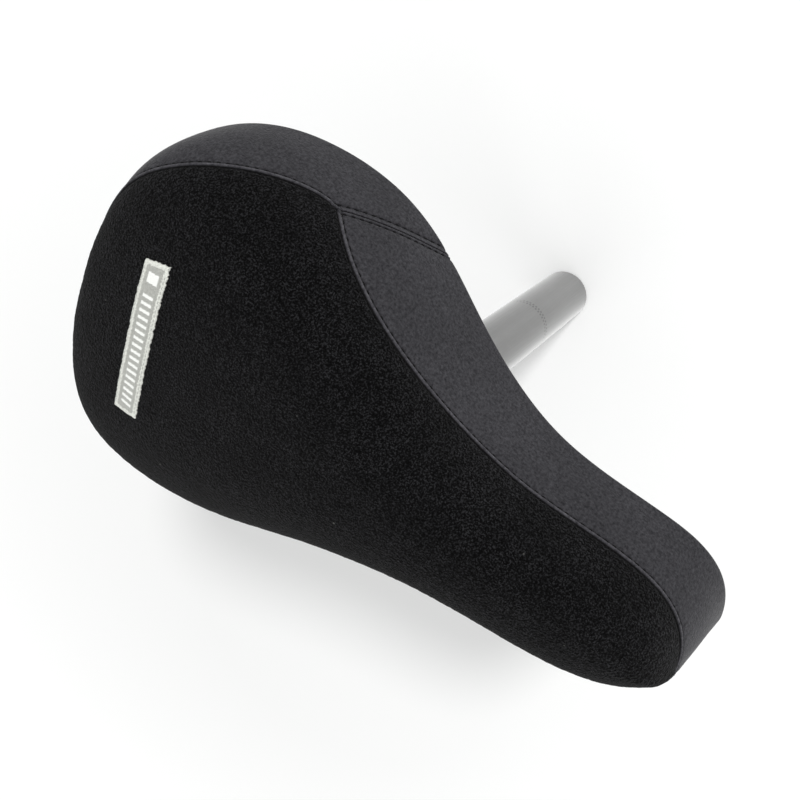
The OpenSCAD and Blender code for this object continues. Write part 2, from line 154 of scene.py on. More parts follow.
def plan_normal(u):
    t = outline(u + 0.01) - outline(u - 0.01)
    t /= np.linalg.norm(t, axis=-1, keepdims=True)
    return np.stack([-t[..., 1], t[..., 0]], -1)


def ridge_z(x):
    return DEPTH * bezier(RIDGE, np.clip(x / LENGTH, 0, 1))


def edge_z(x):
    return DEPTH * bezier(EDGE, np.clip(x / LENGTH, 0, 1))


def skin(u, t):
    """The saddle's outer surface at spline place u and level t."""
    b = outline(u)
    s = np.clip(b[..., 0] / LENGTH, 0, 1)
    v = 1 - t
    reach = v ** 3 + 3 * v * v * t * (1 - mix(*DRAFT, s)) + 3 * v * t * t * mix(*SHOULDER, s)
    rise = 3 * v * v * t * mix(*WALL, s) + 3 * v * t * t + t ** 3
    spine = SPINE[0] + (LENGTH - SPINE[0] - SPINE[1]) * b[..., 0] / LENGTH
    x = mix(spine, b[..., 0], reach)
    z = mix(edge_z(x), ridge_z(x), rise)
    return np.stack(np.broadcast_arrays(x, b[..., 1] * reach, z), -1)


def skin_normal(u, t):
    return unit(np.cross(skin(u, t + 0.01) - skin(u, t), skin(u + 0.01, t) - skin(u - 0.01, t)))


def under(u, t, d):
    """A point d mm under the skin."""
    return skin(u, t) - np.asarray(d)[..., None] * skin_normal(u, t)


def wall_level(u, h):
    """Level at which the wall is h mm over the lower edge, found by halving."""
    lo, hi = np.zeros(np.shape(u)), np.full(np.shape(u), 0.6)
    for _ in range(14):
        mid = (lo + hi) / 2
        p = skin(u, mid)
        low = p[..., 2] - edge_z(p[..., 0]) < h
        lo, hi = np.where(low, mid, lo), np.where(low, hi, mid)
    return (lo + hi) / 2


def inset(u, w, h):
    """A point w mm in from the wall and h mm over the lower edge."""
    u, w, h = np.broadcast_arrays(*(np.asarray(a, float) for a in (u, w, h)))
    b = skin(u, wall_level(u, h))[..., :2]
    near = np.minimum(w, SKIN_IN)
    a = b - near[..., None] * plan_normal(u)
    core = np.stack([CORE[0] + (LENGTH - sum(CORE)) * b[..., 0] / LENGTH, 0 * b[..., 0]], -1)
    way = core - a
    p = a + (w - near)[..., None] * way / np.linalg.norm(way, axis=-1, keepdims=True)
    return np.concatenate([p, (edge_z(p[..., 0]) + h)[..., None]], -1)


def seam_level(u):
    """Level of the top seam at spline place u."""
    a = np.abs(u)
    return np.where(a <= HIP_U, bezier(SEAM_REAR, np.clip(a / HIP_U, 0, 1)),
                    bezier(SEAM_FRONT, np.clip((a - HIP_U) / (NOSE_U - HIP_U), 0, 1)))


def seam_place(v, rear):
    """Spline place where a band's column v meets the top seam; v is -1 to 1 from end to end."""
    return near_u(v * HIP_U if rear else NOSE_U + v * (NOSE_U - HIP_U))


def lean(v, q, rear):
    """Spline place on a band at v and at q, 0 to 1 from the lower edge to the seam."""
    a, side = np.abs(v), np.sign(v)
    h = mix(HIP_FOOT, HIP_U, q)
    if rear:
        return side * (a * HIP_U + (h - HIP_U) * a ** 4)
    return NOSE_U + side * (a * (NOSE_U - HIP_U) - (h - HIP_U) * a ** 6)


PAD_Z = float(edge_z(np.array(POST_X))) + PAD_H
PAD_HEIGHT = POST_L + BOND - SOCKET + COLLAR + FLANGE
TURN = np.array([[math.cos(TILT), 0, math.sin(TILT)], [0, 1, 0],
                 [-math.sin(TILT), 0, math.cos(TILT)]])
UP = TURN[:, 2]


def place(p):
    """Saddle frame in millimetres to the row frame in metres."""
    return ((p - [POST_X, 0, PAD_Z]) @ TURN.T + [0, 0, PAD_HEIGHT]) / 1000


# Where the padding pushes the cover out: spline place and push in mm, on the left side's
# wall and on the right side's shoulder
PUFF_WALL = [(0, 0.1), (1.2, 0.1), (1.75, 0.4), (2.25, 0), (2.8, 0.1), (3.3, 0.6),
             (4.3, 0.5), (4.75, 1.1), (5.25, 1.9), (5.75, 1.7), (6.25, 0.6), (6.75, 0),
             (7.25, 0.2), (8.25, 1.0), (8.75, 1.3), (10.2, 1.15), (11.3, 1.0), (12, 0.7),
             (13, 0.6)]
PUFF_SHOULDER = [(0, 0), (1.75, 0), (2.25, 0.7), (2.75, 1.3), (3.25, 0.9), (3.75, 0.6),
                 (4.75, 0.1), (6.25, 0), (6.75, 0.7), (7.25, 1.1), (7.75, 1.2), (8.75, 0.9),
                 (9.25, 0.3), (10.2, 0), (11.5, 0.3), (12.25, 0.7), (12.7, 1.5), (13, 1.2)]


def puff(u, t):
    """The padding's push; it dies out away from the wall or the shoulder."""
    side = near_u(u)

    def smooth(table):
        at = np.abs(side)[..., None] + np.linspace(-0.45, 0.45, 7)
        return np.interp(np.abs(at), *np.transpose(table)).mean(-1)

    from_end = np.minimum(np.abs(side), NOSE_U - np.abs(side))
    left = ease(0.5 + np.sign(side) * from_end)
    wall = smooth(PUFF_WALL) * (1 - ease((t - 0.08) / 0.3))
    shoulder = smooth(PUFF_SHOULDER) * bump_at(t, 0.5, 0.24)
    return mix(shoulder, wall, left)


# Meshes


def closed_mesh(name, verts, faces, face_up=False):
    """Mesh with consistent normals; with face_up its highest face is made to look up."""
    mesh = bpy.data.meshes.new(name)
    mesh.from_pydata(np.asarray(verts).tolist(), [], [list(f) for f in faces])
    bm = bmesh.new()
    bm.from_mesh(mesh)
    bmesh.ops.recalc_face_normals(bm, faces=bm.faces)
    if face_up and max(bm.faces, key=lambda f: f.calc_center_median().z).normal.z < 0:
        bmesh.ops.reverse_faces(bm, faces=bm.faces)
    bm.to_mesh(mesh)
    bm.free()
    return mesh


def show(name, data):
    ob = bpy.data.objects.new(name, data)
    bpy.context.scene.collection.objects.link(ob)
    return ob


def piece(name, verts, faces, material, node=None, marks=None):
    """A smooth piece of the saddle; marks are fields over its first points, for the material."""
    mesh = closed_mesh(name, verts, faces)
    mesh.polygons.foreach_set("use_smooth", [True] * len(mesh.polygons))
    mesh.materials.append(material)
    if marks is not None:
        rgba = np.zeros((len(verts), 4))
        rgba[:, 3] = 1
        for k, m in enumerate(marks):
            rgba[:m.size, k] = m.reshape(-1)
        layer = mesh.color_attributes.new("mark", "FLOAT_COLOR", "POINT")
        layer.data.foreach_set("color", rgba.reshape(-1))
    ob = show(name, mesh)
    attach(ob, "root")
    if node:
        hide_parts(node)
    return ob


def grid_faces(rows, cols, start=0, wrap=False, flip=False):
    """Quads between row-major rows of cols points."""
    j = np.arange(cols if wrap else cols - 1)
    k = (j + 1) % cols
    out = []
    for i in range(rows - 1):
        a, b = start + i * cols, start + (i + 1) * cols
        q = np.stack([a + j, a + k, b + k, b + j], 1)
        out.append(q[:, ::-1] if flip else q)
    return np.vstack(out).tolist()


def cap_faces(cols, start, flip=False):
    """Faces that close a mirror-symmetric ring of cols points from side to side."""
    half = cols // 2
    cap = [[0, 1, cols - 1]]
    cap += [[i, i + 1, cols - i - 1, cols - i] for i in range(1, half - 1)]
    cap += [[half - 1, half, half + 1]]
    return [[start + a for a in (f[::-1] if flip else f)] for f in cap]


# Materials


class Tree:
    """A node tree, with short ways to add nodes; values are sockets or constants."""

    def __init__(self, owner):
        owner.use_nodes = True
        self.nodes, self.links = owner.node_tree.nodes, owner.node_tree.links

    def put(self, value, socket):
        if isinstance(value, bpy.types.NodeSocket):
            self.links.new(value, socket)
        else:
            socket.default_value = value

    def put_all(self, node, settings):
        for key, value in settings.items():
            self.put(value, node.inputs[key.replace("_", " ")])

    def add(self, kind, **settings):
        """A node; lower-case settings are its own, the others its inputs."""
        node = self.nodes.new("ShaderNode" + kind)
        for key in [k for k in settings if k.islower()]:
            setattr(node, key, settings.pop(key))
        self.put_all(node, settings)
        return node

    def join(self, kind, *values, **settings):
        """First output of a node whose first inputs are the values."""
        node = self.add(kind, **settings)
        for socket, value in zip(node.inputs, values):
            self.put(value, socket)
        return node.outputs[0]

    def calc(self, operation, *values):
        return self.join("Math", *values, operation=operation)

    def texture(self, kind, **settings):
        """A texture read at the object's own coordinates."""
        at = self.add("TexCoord").outputs["Object"]
        return self.add("Tex" + kind, **settings, Vector=at)

    def noise(self, scale, detail, roughness=0.5):
        return self.texture("Noise", Scale=scale, Detail=detail, Roughness=roughness).outputs["Fac"]

    def ramp(self, source, *stops):
        """Colours or greys over a field; each stop is a position and its colour."""
        node = self.add("ValToRGB", Fac=source)
        elements = node.color_ramp.elements
        while len(elements) < len(stops):
            elements.new(0.5)
        for e, (position, colour) in zip(elements, stops):
            e.position = position
            e.color = (*(colour if np.ndim(colour) else (colour,) * 3), 1)
        return node.outputs["Color"]

    def blend(self, how, factor, a, b):
        """Colour of a changed by b."""
        node = self.add("Mix", data_type="RGBA", blend_type=how)
        for k, value in ((0, factor), (6, a), (7, b)):
            self.put(value, node.inputs[k])
        return node.outputs[2]

    def mark(self):
        """Channels of the mesh's mark."""
        colour = self.add("VertexColor", layer_name="mark").outputs["Color"]
        return self.add("SeparateColor", Color=colour).outputs

    def marked(self, colour, painted_shade, light):
        """Darkens a colour as painted shade where the mesh's mark is red and lifts it as a painted
        highlight where it is green.
        """
        mark = self.mark()
        for channel, target in (("Red", painted_shade), ("Green", light)):
            tint = self.blend("MIX", mark[channel], (1, 1, 1, 1), (target, target, target, 1))
            colour = self.blend("MULTIPLY", 1.0, colour, tint)
        return colour

    def bump(self, height, strength, distance, below=None):
        node = self.add("Bump", Height=height, Strength=strength, Distance=distance)
        if below is not None:
            self.put(below, node.inputs["Normal"])
        return node.outputs["Normal"]

    def surface(self, **settings):
        """Inputs of the material's own shader."""
        self.put_all(self.nodes["Principled BSDF"], settings)


def new_material(name):
    material = bpy.data.materials.new(name)
    return material, Tree(material)


def looped_pile():
    """Black looped-pile fabric: soft loops about 0.9 mm across, with a few paler fibres."""
    material, tree = new_material("looped_pile")
    loops = tree.texture("Voronoi", feature="SMOOTH_F1", Scale=1150.0, Smoothness=0.6)
    curl = tree.noise(1650.0, 4.0, 0.75)
    # The tone follows the same noise as the bump: painted shade in the pits of the pile and painted
    # highlights on the loop tops.
    tone = tree.ramp(curl, (0.41, 0.0002), (0.5, (0.0013, 0.0013, 0.0014)),
                     (0.6, (0.021, 0.021, 0.0228)))
    patch = tree.ramp(tree.noise(60.0, 3.0), (0.35, 0.8), (0.7, 1.15))
    lint = tree.texture("Voronoi", feature="F1", Scale=150.0).outputs
    near = tree.ramp(lint["Distance"], (0.03, 1.0), (0.07, 0.0))
    which = tree.add("SeparateColor", Color=lint["Color"]).outputs["Red"]
    pale = tree.calc("MULTIPLY", near, tree.calc("GREATER_THAN", which, 0.88))
    colour = tree.blend("MIX", pale, tree.blend("MULTIPLY", 1.0, tone, patch),
                        (0.09, 0.09, 0.085, 1))
    grain = tree.bump(loops.outputs["Distance"], 0.8, 0.0006)
    # The mesh's marks add painted shade in the seam's groove and the pile's hollows, and painted
    # highlights on the clumps' tops.
    tree.surface(Base_Color=tree.marked(colour, 0.1, 1.3), Roughness=0.95,
                 Specular_IOR_Level=0.06, Sheen_Weight=0.034, Sheen_Roughness=0.45,
                 Normal=tree.bump(curl, 0.7, 0.0005, grain))
    return material


def brushed_knit():
    """Charcoal knit with a fine brushed face."""
    material, tree = new_material("brushed_knit")
    fine = tree.noise(1000.0, 3.0, 0.65)
    knit = tree.texture("Voronoi", feature="F1", Scale=1700.0)
    tone = tree.ramp(fine, (0.28, (0.0142, 0.0138, 0.016)), (0.72, (0.054, 0.053, 0.0585)))
    patch = tree.ramp(tree.noise(38.0, 4.0), (0.3, 0.9), (0.7, 1.08))
    colour = tree.blend("MULTIPLY", 1.0, tone, patch)
    grain = tree.bump(knit.outputs["Distance"], 0.35, 0.0003)
    # The mesh's marks add painted shade in the seams' joints and stitch grooves, and painted
    # highlights on the hems' crests.
    tree.surface(Base_Color=tree.marked(colour, 0.04, 1.8), Roughness=0.88,
                 Specular_IOR_Level=0.1, Sheen_Weight=0.2, Sheen_Roughness=0.35,
                 Normal=tree.bump(fine, 0.35, 0.0003, grain))
    return material


def thread(name, colour):
    material, tree = new_material(name)
    ply = tree.noise(4200.0, 2.0)
    tone = tree.ramp(ply, (0.3, [c * 0.6 for c in colour]), (0.7, [c * 1.3 for c in colour]))
    tree.surface(Base_Color=tone, Roughness=0.7, Specular_IOR_Level=0.1,
                 Normal=tree.bump(ply, 0.5, 0.0001))
    return material


def woven_ribbon():
    """Fine weft lines with a paler satin border and paler bars, which the mesh marks."""
    material, tree = new_material("woven_ribbon")
    mark = tree.mark()
    weft = tree.noise(2600.0, 3.0, 0.6)
    tone = tree.ramp(weft, (0.3, (0.3, 0.305, 0.28)), (0.7, (0.52, 0.525, 0.49)))
    for channel, low, high in (("Red", (0.62, 0.63, 0.58), (0.9, 0.92, 0.85)),
                               ("Green", (0.88, 0.9, 0.86), (0.97, 0.98, 0.95))):
        tone = tree.blend("MIX", mark[channel], tone, tree.ramp(weft, (0.3, low), (0.7, high)))
    tree.surface(Base_Color=tone, Roughness=0.75, Sheen_Weight=0.15,
                 Normal=tree.bump(weft, 0.4, 0.0002))
    return material


def moulded(name, low, high, rough):
    """Moulded plastic with a fine spark-eroded grain."""
    material, tree = new_material(name)
    wear = tree.noise(45.0, 5.0)
    tree.surface(Base_Color=tree.ramp(wear, (0.3, low), (0.7, high)),
                 Roughness=tree.ramp(wear, (0.3, rough - 0.08), (0.75, rough + 0.1)),
                 Normal=tree.bump(tree.noise(1300.0, 3.0), 0.3, 0.0002))
    return material


def open_cell_foam():
    material, tree = new_material("open_cell_foam")
    cell = tree.texture("Voronoi", feature="F1", Scale=900.0)
    tone = tree.ramp(tree.noise(30.0, 4.0), (0.3, (0.62, 0.55, 0.33)), (0.7, (0.78, 0.72, 0.5)))
    tree.surface(Base_Color=tone, Roughness=0.95,
                 Normal=tree.bump(cell.outputs["Distance"], 0.9, 0.0005))
    return material


def metal(name, low, high, rough, stretch=(1, 1, 1), scale=600.0, strength=0.08):
    """Metal with fine marks, stretched along an axis where it was brushed or turned."""
    material, tree = new_material(name)
    way = tree.add("Mapping", Vector=tree.add("TexCoord").outputs["Object"], Scale=stretch)
    marks = tree.add("TexNoise", Vector=way.outputs["Vector"], Scale=scale, Detail=4.0,
                     Roughness=0.65).outputs["Fac"]
    tree.surface(Base_Color=tree.ramp(tree.noise(25.0, 4.0), (0.3, low), (0.7, high)),
                 Roughness=tree.ramp(marks, (0.25, rough - 0.07), (0.75, rough + 0.1)),
                 Metallic=1.0, Normal=tree.bump(marks, strength, 0.0002))
    return material


TICKS = 48                              # marks round the post in each of two rows
TICK_ROWS = ((0.0595, 0.0), (0.0615, 0.45))     # height in m, and turn in marks
TICK_H = 0.0008                         # half their height, in m


def satin_tube():
    """Satin tube with a plain ring of small etched ticks round it."""
    material = metal("satin_tube", (0.124, 0.124, 0.122), (0.156, 0.156, 0.153), 0.4,
                     (30, 30, 1), 60.0, 0.06)
    tree = Tree(material)
    at = tree.add("SeparateXYZ", Vector=tree.add("TexCoord").outputs["Object"]).outputs
    turns = tree.calc("MULTIPLY", tree.calc("ARCTAN2", at["Y"], at["X"]), TICKS / (2 * math.pi))
    rows = []
    for height, phase in TICK_ROWS:
        tick = tree.calc("LESS_THAN", tree.calc("FRACT", tree.calc("ADD", turns, phase)), 0.5)
        off = tree.calc("ABSOLUTE", tree.calc("SUBTRACT", at["Z"], height))
        rows.append(tree.calc("MULTIPLY", tick, tree.calc("LESS_THAN", off, TICK_H)))
    bare = tree.nodes["Principled BSDF"].inputs["Base Color"].links[0].from_socket
    tree.surface(Base_Color=tree.blend("MIX", tree.calc("MAXIMUM", *rows), bare,
                                       (0.035, 0.035, 0.033, 1)),
                 Anisotropic=0.85, Anisotropic_Rotation=0.25, Coat_Weight=1.0,
                 Coat_Roughness=0.25, Coat_IOR=1.6, Sheen_Weight=0.7, Sheen_Roughness=0.35)
    return material


TOP, BAND = looped_pile(), brushed_knit()
BLACK_THREAD = thread("seam_thread", (0.004, 0.004, 0.0045))
GREY_THREAD = thread("label_thread", (0.55, 0.56, 0.53))
NODE_LOOKS = {      # by the node's name, or by what it starts with
    "foam_pad": open_cell_foam(),
    "base_shell": moulded("moulded_base", (0.012, 0.012, 0.013), (0.022, 0.022, 0.024), 0.5),
    "cover_staples": metal("staple_wire", (0.36, 0.36, 0.37), (0.46, 0.46, 0.47), 0.35,
                           scale=500.0),
    "post_tube": satin_tube(),
    "post_head": metal("blasted_alloy", (0.36, 0.36, 0.365), (0.44, 0.44, 0.445), 0.5,
                       scale=1400.0, strength=0.25),
    "bolt": metal("black_oxide", (0.03, 0.03, 0.032), (0.06, 0.06, 0.062), 0.38, (1, 1, 8), 300.0),
    "washer": metal("zinc_plate", (0.5, 0.52, 0.55), (0.62, 0.63, 0.65), 0.28, scale=700.0),
    "insert": metal("turned_brass", (0.6, 0.42, 0.17), (0.72, 0.52, 0.24), 0.3, (1, 1, 6), 500.0),
}
for name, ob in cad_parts.items():
    look = NODE_LOOKS.get(name) or NODE_LOOKS.get(name.split("_")[0])
    if look:
        ob.data.materials.clear()
        ob.data.materials.append(look)


# The cover's settled form: blown up in Blender's cloth while its seams and lower edge are held

WALL_ROWS, TOP_ROWS = 6, 16             # rows of the cloth below and above the top seam
SIM_REAR, SIM_FRONT = 20, 34            # its columns on each side, behind and before the hip
PRESSURE, FRAMES = 40.0, 20
LIFT_LEAST, LIFT_RANGE = 0.65, 0.7      # lift as a share of START


def sim_columns():
    rear = [HIP_U * i / SIM_REAR for i in range(SIM_REAR)]
    front = [HIP_U + (NOSE_U - HIP_U) * i / SIM_FRONT for i in range(SIM_FRONT + 1)]
    half = rear + front
    return np.array(half + [2 * NOSE_U - a for a in half[-2:0:-1]])


SIM_U = sim_columns()


def blow_up(ob, held, shape):
    """Where the cloth's points lie after the last frame, with the held ones pinned."""
    pin = ob.vertex_groups.new(name="held")
    pin.add(held, 1.0, "REPLACE")
    cloth = ob.modifiers.new("cloth", "CLOTH")
    c = cloth.settings
    c.quality, c.mass, c.air_damping = 6, 0.02, 2.0
    c.tension_stiffness = c.compression_stiffness = 15
    c.shear_stiffness, c.bending_stiffness = 5, 0.1
    c.vertex_group_mass = "held"
    c.use_pressure, c.uniform_pressure_force = True, PRESSURE
    c.effector_weights.gravity = 0
    cloth.point_cache.frame_start, cloth.point_cache.frame_end = 1, FRAMES
    for f in range(1, FRAMES + 1):
        bpy.context.scene.frame_set(f)
    done = ob.evaluated_get(bpy.context.evaluated_depsgraph_get()).to_mesh()
    co = np.zeros(len(done.vertices) * 3)
    done.vertices.foreach_get("co", co)
    return co.reshape(shape)


def settle_cover():
    """Lift of the cover in mm at each point of the cloth, row by row from the lower edge."""
    cols, rows = len(SIM_U), WALL_ROWS + TOP_ROWS + 1
    un = near_u(SIM_U)
    seam = seam_level(un)
    at_hip = np.abs(np.abs(un) - HIP_U) < 1e-6
    pts, out, held = [], [], []
    for k in range(rows):
        if k < WALL_ROWS:
            q = k / WALL_ROWS
            u = np.where(np.abs(un) <= HIP_U, lean(un / HIP_U, q, True),
                         near_u(lean((SIM_U - NOSE_U) / (NOSE_U - HIP_U), q, False)))
            t = q * seam
        else:
            u, t = un, mix(seam, CAP, (k - WALL_ROWS) / TOP_ROWS)
        pts.append(place(under(u, t, np.full(cols, START))))
        out.append(skin_normal(u, t) @ TURN.T)
        held.append((k in (0, WALL_ROWS)) | ((k < WALL_ROWS) & at_hip))
    start = np.array(pts)
    faces = grid_faces(rows, cols, wrap=True) + cap_faces(cols, (rows - 1) * cols)
    ob = show("cover_form", closed_mesh("cover_form", start.reshape(-1, 3), faces, face_up=True))
    end = blow_up(ob, np.flatnonzero(np.concatenate(held)).tolist(), start.shape)
    rise = ((end - start) * np.array(out)).sum(-1) * 1000
    bpy.data.objects.remove(ob)
    bpy.context.scene.frame_set(1)
    low, high = np.percentile(rise, [4, 96])
    print("cloth rose, mm:", np.round([low, np.median(rise), high], 2))
    return START * (LIFT_LEAST + LIFT_RANGE * ease((rise - low) / (high - low)))


LIFT = settle_cover()


def settled(un, row):
    """The lift at nominal place un and cloth row, both arrays of one shape."""
    if LIFT is None:
        return np.full(np.shape(un), START)
    u = np.where(un < 0, un + 2 * NOSE_U, un)
    col = np.interp(u, np.r_[SIM_U, 2 * NOSE_U], np.arange(len(SIM_U) + 1))
    ci, ri = np.floor(col).astype(int), np.floor(row).astype(int)
    wc, wr = spline_weights(col - ci), spline_weights(row - ri)
    out = 0
    for a in range(4):
        for b in range(4):
            g = LIFT[np.clip(ri + b - 1, 0, LIFT.shape[0] - 1), (ci + a - 1) % LIFT.shape[1]]
            out = out + wc[a] * wr[b] * g
    return out


# The top panel

TOP_NEAR = [0, 0.25, 0.5, 0.8, 1.2, 1.7, 2.3, 3.0, 4.0, 5.2, 6.6, 8.2]      # rows, mm from the seam
TOP_FAR = 84                            # rows from there to the ridge
TOP_HALF = 430                          # columns on each side
TOP_INSIDE = (0, 0.08, 0.2, 0.4, 0.6, 0.8, 1)       # rows of its inner face
TOP_T = 0.95                            # its thickness inside the hem


def even_half(n):
    """n + 1 places from tail to nose, evenly spaced along the top seam."""
    u = np.linspace(0, NOSE_U, 1500)
    path = skin(u, seam_level(u))
    total = np.linalg.norm(np.diff(path, axis=0), axis=1).sum()
    return np.interp(np.linspace(0, total, n + 1), run_along(path), u)


def top_rows(un, seam):
    """Level of each point of the top and its distance from the seam, row by row."""
    t_fine = mix(seam[None, :], CAP, np.linspace(0, 1, 90)[:, None])
    fine = skin(np.broadcast_to(un, t_fine.shape), t_fine)
    steps = np.linalg.norm(np.diff(fine, axis=0), axis=2)
    run = np.vstack([np.zeros(len(un)), np.cumsum(steps, axis=0)])
    t, s = np.zeros((2, len(TOP_NEAR) + TOP_FAR, len(un)))
    for i in range(len(un)):
        far = TOP_NEAR[-1] + (run[-1, i] - TOP_NEAR[-1]) * np.arange(1, TOP_FAR + 1) / TOP_FAR
        s[:, i] = np.r_[TOP_NEAR, far]
        t[:, i] = np.interp(s[:, i], run[:, i], t_fine[:, i])
    return t, s


def top_cover():
    """The top panel as a closed sheet, and a tree of its faces to lay the label on."""
    half = even_half(TOP_HALF)
    un = np.r_[half, -half[-2:0:-1]]
    cols = len(un)
    seam = seam_level(un)
    t, s = top_rows(un, seam)
    u = np.broadcast_to(un, t.shape)
    base = skin(u, t)
    clump = noise(base / 1.25, 1)       # the pile stands in clumps, on a cloth that isn't flat
    calm = 1 - 0.7 * bump_at(np.abs(un), NOSE_U, 1.2)
    depth = START + calm * (0.45 * bump_at(s, 0, 0.8) + 0.15 * bump_at(s, 0, 4.0))
    depth = depth - 0.10 * clump - 0.04 * noise(base / 0.7, 2) - 0.12 * noise(base / 14, 3)
    row = WALL_ROWS + TOP_ROWS * (t - seam) / (CAP - seam)
    outer = place(under(u, t, depth - settled(u, row) - puff(u, t)))
    hem = [place(under(un, seam - 0.9 * k / 60, np.full(cols, 1.5 + 0.12 * k))) for k in (2, 1)]
    inner = [place(under(un, mix(seam, CAP, f),
                         START + TOP_T - settled(un, np.full(cols, WALL_ROWS + TOP_ROWS * f))))
             for f in TOP_INSIDE]
    rings = list(outer)[::-1] + hem[::-1] + inner
    verts = np.array(rings).reshape(-1, 3)
    rows = len(rings)
    faces = grid_faces(rows, cols, wrap=True) + cap_faces(cols, 0)
    faces += cap_faces(cols, (rows - 1) * cols, flip=True)
    # Marks for the pile: painted shade in the seam's groove and in the clumps' hollows, and a
    # painted highlight on the clumps' tops.
    painted_shade = np.maximum(ease(1 - s / 0.55), 0.5 * np.clip(-clump - 0.1, 0, 1))
    marks = (painted_shade[::-1], 0.7 * np.clip(clump, 0, 1)[::-1])
    ob = piece("cover_top", verts, faces, TOP, "top_panel", marks=marks)
    outside = [f for f in faces if max(f) < len(outer) * cols]
    return ob, BVHTree.FromPolygons([Vector(v) for v in verts], outside)


# The side bands

BAND_NEAR = [0, 0.08, 0.18, 0.3, 0.44, 0.6, 0.76, 0.92, 1.08, 1.22, 1.36, 1.5, 1.64, 1.8,
             2.0, 2.3, 2.8, 3.6, 4.8]   # rows, mm from the top seam
BAND_FAR = 30                           # rows from there to the lower edge
END_NEAR = [0, 0.08, 0.18, 0.3, 0.44, 0.6, 0.76, 0.92, 1.06, 1.2, 1.34, 1.5, 1.66, 1.84,
            2.0, 2.16, 2.34, 2.6, 3.1, 4.0, 5.4]    # columns, mm from the hip seam
BAND_STEP = 0.8                         # spacing of the other columns, mm
BAND_FINE = 110                         # points of a column before its rows are set
STITCH_S = 1.5                          # stitch line's distance from the top seam
STITCH_END = {True: 2.0, False: 1.2}    # from the hip seam, on the rear and the front band
FOLD = np.linspace(0.15, 1, 7) * math.pi / 2
FOLD_R = 1.5                            # radius of the fold round the lower edge
BACK_END = 3.1                          # where the turned-in part's back ends, from the wall
TURNED = (0.12, 0.28, 0.45, 0.62, 0.8, 0.93, 1.0)
BACK = (0.35, 0.7, 1.0)
BAND_INSIDE = (0.08, 0.2, 0.4, 0.6, 0.8, 0.93, 1.0)


def round_edge(s, radius, drop, height):
    """Profile of an edge that rounds off over the radius, from the drop up by the height."""
    share = (radius - np.minimum(s, radius)) / radius
    return drop + height * np.sqrt(np.clip(1 - share ** 2, 0, 1))


def hem_height(s):
    """Height of the folded hem over the wall at distance s: round fold, ridge, stitch line."""
    ridge = 0.4 * bump_at(s, 0.6, 0.75)
    hem = np.where(s < 0.6, round_edge(s, 0.6, -0.6, 1.0), ridge)
    return hem - 0.5 * bump_at(s, STITCH_S, 0.3) - 0.14 * bump_at(s, STITCH_S, 1.8)


def end_height(d, rear):
    """The same beside the hip seam, where the edge rolls down into the joint."""
    ridge = 0.2 * bump_at(d, 0.5, 0.7)
    at = STITCH_END[rear]
    roll = np.where(d < 0.5, round_edge(d, 0.5, -0.75, 0.95), ridge)
    stitched = roll - 0.45 * bump_at(d, at, 0.28) - 0.1 * bump_at(d, at, 1.6)
    return stitched - 0.35 * bump_at(d, 0, 3.2)


def hip_curve(side):
    q = np.linspace(1, 0, 500)
    return skin(side * mix(HIP_FOOT, HIP_U, q), q * seam_level(np.array(HIP_U)))


def seam_curve(rear):
    ends = (-HIP_U, HIP_U) if rear else (HIP_U, 2 * NOSE_U - HIP_U)
    un = near_u(np.linspace(*ends, 3000))
    return skin(un, seam_level(un))


def tuck(un, arc):
    """Soft pleats where the cover is pulled round the nose and the tail's corners."""
    where = bump_at(np.abs(un), NOSE_U, 1.6) + 0.7 * bump_at(np.abs(un), 2.4, 1.3)
    wave = np.sin(arc * 2 * math.pi / 6.2 + 1.7 * np.sin(arc / 9.0))
    return where * np.clip(wave, -0.2, 1) ** 2


def band_columns(rear):
    """Columns of a band as v against q, the outer ones at set distances from the hip seams."""
    v_fine = np.linspace(-1, 1, 1600)
    un_fine = seam_place(v_fine, rear)
    reach = 420                         # points of a row that are tried for the outer columns
    q_set = np.linspace(0, 1, 13)
    table = []
    for q in q_set:
        row = skin(lean(v_fine, q, rear), q * seam_level(un_fine))
        run = run_along(row)
        ends = []
        for part in (slice(0, reach), slice(None, -reach - 1, -1)):
            d = distance(row[part], hip_curve(np.sign(row[part][0, 1])))
            ends.append(np.interp(END_NEAR, np.maximum.accumulate(d), v_fine[part]))
        first, last = np.interp([ends[0][-1], ends[1][-1]], v_fine, run)
        if not table:
            n = int((last - first) / BAND_STEP)
        middle = np.interp(np.linspace(first, last, n + 1)[1:-1], run, v_fine)
        table.append(np.r_[ends[0], middle, ends[1][::-1]])
    v_table = np.array(table)
    v_table[:, 0], v_table[:, -1] = -1, 1
    return q_set, v_table


def band_rows(rear, q_set, v_table):
    """q, v and the distance from the top seam of each point of a band, row by row."""
    line = seam_curve(rear)
    q, v, s = np.zeros((3, len(BAND_NEAR) + BAND_FAR, v_table.shape[1]))
    qf, index = np.linspace(1, 0, BAND_FINE), np.arange(BAND_FINE)
    for i in range(v_table.shape[1]):
        vf = np.interp(qf, q_set, v_table[:, i])
        column = skin(lean(vf, qf, rear), qf * seam_level(seam_place(vf, rear)))
        from_seam = np.r_[0, np.maximum.accumulate(distance(column[1:], line))]
        height = column[:, 2] - edge_z(column[:, 0])
        end = np.interp(np.interp(FOLD_R, height[::-1], index[::-1]), index, from_seam)
        far = BAND_NEAR[-1] + (end - BAND_NEAR[-1]) * np.arange(1, BAND_FAR + 1) / BAND_FAR
        s[:, i] = np.r_[BAND_NEAR, far]
        q[:, i] = np.interp(s[:, i], from_seam, qf)
        v[:, i] = np.interp(q[:, i], q_set, v_table[:, i])
    return q, v, s


